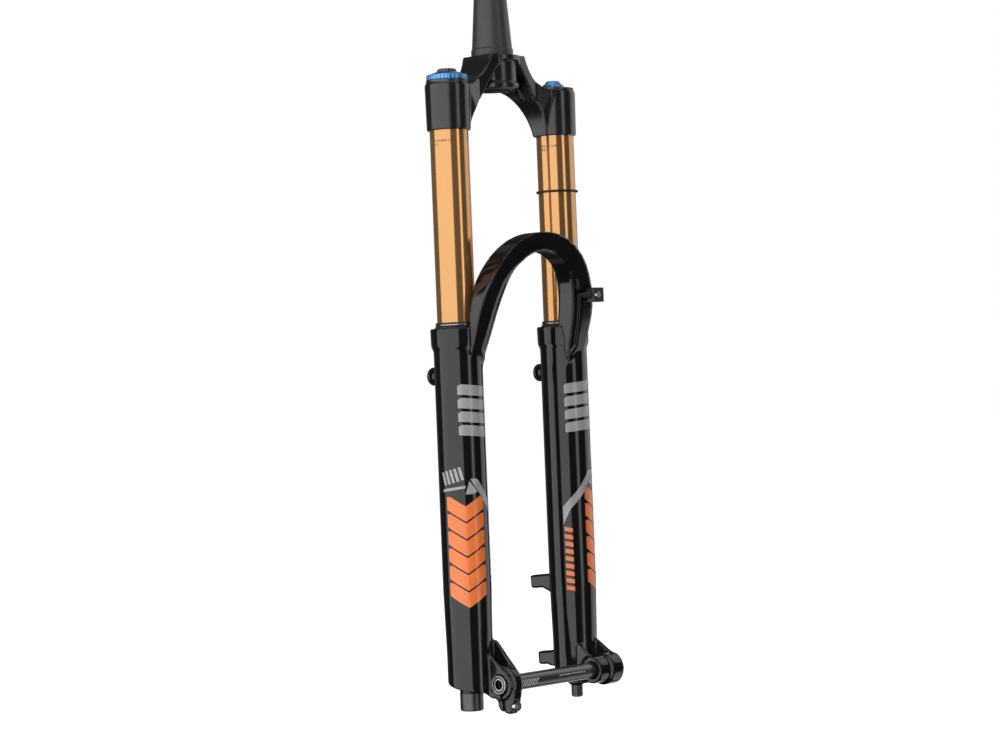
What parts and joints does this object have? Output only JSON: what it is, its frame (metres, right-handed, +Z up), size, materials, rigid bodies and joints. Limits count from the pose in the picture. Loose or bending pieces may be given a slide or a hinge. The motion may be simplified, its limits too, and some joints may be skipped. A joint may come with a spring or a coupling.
{
  "type": "suspension fork",
  "caption": "Single-crown telescopic mountain-bike fork with tapered steerer, one-piece lower legs with arch, through axle, air spring leg and damper leg.",
  "frame": {"origin": "centre of the crown race seat, on the steerer axis", "axes": "+X forwards, +Y to the rider's left, +Z up along the steerer"},
  "size_m": [0.1072, 0.1928, 0.868],
  "materials": {
    "gloss_black": "gloss black paint over magnesium and forged aluminium",
    "steerer_black": "satin black anodised aluminium",
    "gold": "polished gold-bronze anodised",
    "blue_anodised": "satin blue anodised",
    "red_anodised": "satin red anodised",
    "black_anodised": "satin black anodised",
    "axle_grey": "satin dark grey anodised",
    "bare_aluminium": "turned",
    "steel": "bright plated steel",
    "brass": "plain",
    "rubber": "matt black",
    "black_plastic": "moulded, fine grain",
    "bearing_plastic": "dull PTFE-lined",
    "spacer_plastic": "moulded orange",
    "foam": "open-cell oil foam"
  },
  "bodies": {
    "upper": {"air_seal_head": "black_anodised", "air_top_cap": "black_anodised", "air_valve": "brass", "compression_valve": "bare_aluminium", "crown": "gloss_black", "damper_cartridge": "bare_aluminium", "damper_seal_head": "bare_aluminium", "damper_top_cap": "black_anodised", "detent_balls": "steel", "floating_piston_spring": "steel", "retaining_ring": "steel", "stanchion_left": "gold", "stanchion_right": "gold", "steerer_tube": "steerer_black", "top_out_bumper": "rubber", "volume_spacers": "spacer_plastic"},
    "lowers": {"lower_casting": "gloss_black", "bushings_upper": "bearing_plastic", "bushings_lower": "bearing_plastic", "foam_rings": "foam", "wiper_seal_right": "rubber", "wiper_seal_left": "rubber", "garter_springs": "steel", "hose_guide": "black_plastic", "hose_guide_screw": "steel", "air_shaft": "black_anodised", "air_piston": "black_plastic", "air_piston_seal": "rubber", "bottom_out_bumpers": "rubber", "air_foot_nut": "black_anodised", "damper_shaft": "steel", "damper_piston": "bare_aluminium", "damper_piston_band": "bearing_plastic", "damper_foot_nut": "steel", "crush_washers": "black_plastic", "axle_sleeve_nut": "steel", "pinch_bolt": "steel"},
    "o_ring": {"travel_o_ring": "rubber"},
    "ifp": {"floating_piston": "black_plastic"},
    "hsc_dial": {"hsc_dial": "blue_anodised"},
    "lsc_dial": {"lsc_dial": "black_anodised"},
    "valve_cap": {"air_valve_cap": "blue_anodised"},
    "rebound_cover": {"rebound_cover": "black_anodised"},
    "lsr_knob": {"lsr_knob": "red_anodised"},
    "hsr_adjuster": {"hsr_adjuster": "blue_anodised"},
    "bleed_right": {"bleed_button_right": "black_plastic"},
    "bleed_left": {"bleed_button_left": "black_plastic"},
    "axle": {"axle": "axle_grey"}
  },
  "joints": [
    {"name": "fork_travel", "type": "slide", "parent": "upper", "child": "lowers", "axis": [0, 0, 1], "range_m": [0, 0.17], "stiffness_N_per_m": 4500, "springref_m": -0.02},
    {"name": "o_ring_slide", "type": "slide", "parent": "upper", "child": "o_ring", "axis": [0, 0, 1], "range_m": [0, 0.05]},
    {"name": "ifp_slide", "type": "slide", "parent": "upper", "child": "ifp", "axis": [0, 0, 1], "range_m": [0, 0.0265], "deforming": ["floating_piston_spring"]},
    {"name": "hsc_turn", "type": "hinge", "parent": "upper", "child": "hsc_dial", "pos_m": [0.01, -0.0715, -0.024], "axis": [0, 0, 1], "range_deg": [0, 240]},
    {"name": "lsc_turn", "type": "hinge", "parent": "upper", "child": "lsc_dial", "pos_m": [0.01, -0.0715, -0.0175], "axis": [0, 0, 1], "range_deg": [0, 340]},
    {"name": "valve_cap_off", "type": "slide", "parent": "upper", "child": "valve_cap", "axis": [0, 0, 1], "range_m": [0, 0.02]},
    {"name": "rebound_cover_off", "type": "slide", "parent": "lowers", "child": "rebound_cover", "axis": [0, 0, -1], "range_m": [0, 0.03]},
    {"name": "lsr_turn", "type": "hinge", "parent": "lowers", "child": "lsr_knob", "pos_m": [0.01, -0.0715, -0.605], "axis": [0, 0, 1], "range_deg": [0, 340]},
    {"name": "hsr_turn", "type": "hinge", "parent": "lowers", "child": "hsr_adjuster", "pos_m": [0.01, -0.0715, -0.602], "axis": [0, 0, 1], "range_deg": [0, 240]},
    {"name": "bleed_right_press", "type": "slide", "parent": "lowers", "child": "bleed_right", "axis": [1, 0, 0], "range_m": [0, 0.0015], "stiffness_N_per_m": 600},
    {"name": "bleed_left_press", "type": "slide", "parent": "lowers", "child": "bleed_left", "axis": [1, 0, 0], "range_m": [0, 0.0015], "stiffness_N_per_m": 600},
    {"name": "axle_out", "type": "slide", "parent": "lowers", "child": "axle", "axis": [0, 1, 0], "range_m": [0, 0.155]}
  ],
  "couplings": [
    {"joint": "o_ring_slide", "follows": "fork_travel", "ratio": 0.293},
    {"joint": "ifp_slide", "follows": "fork_travel", "ratio": 0.153}
  ]
}
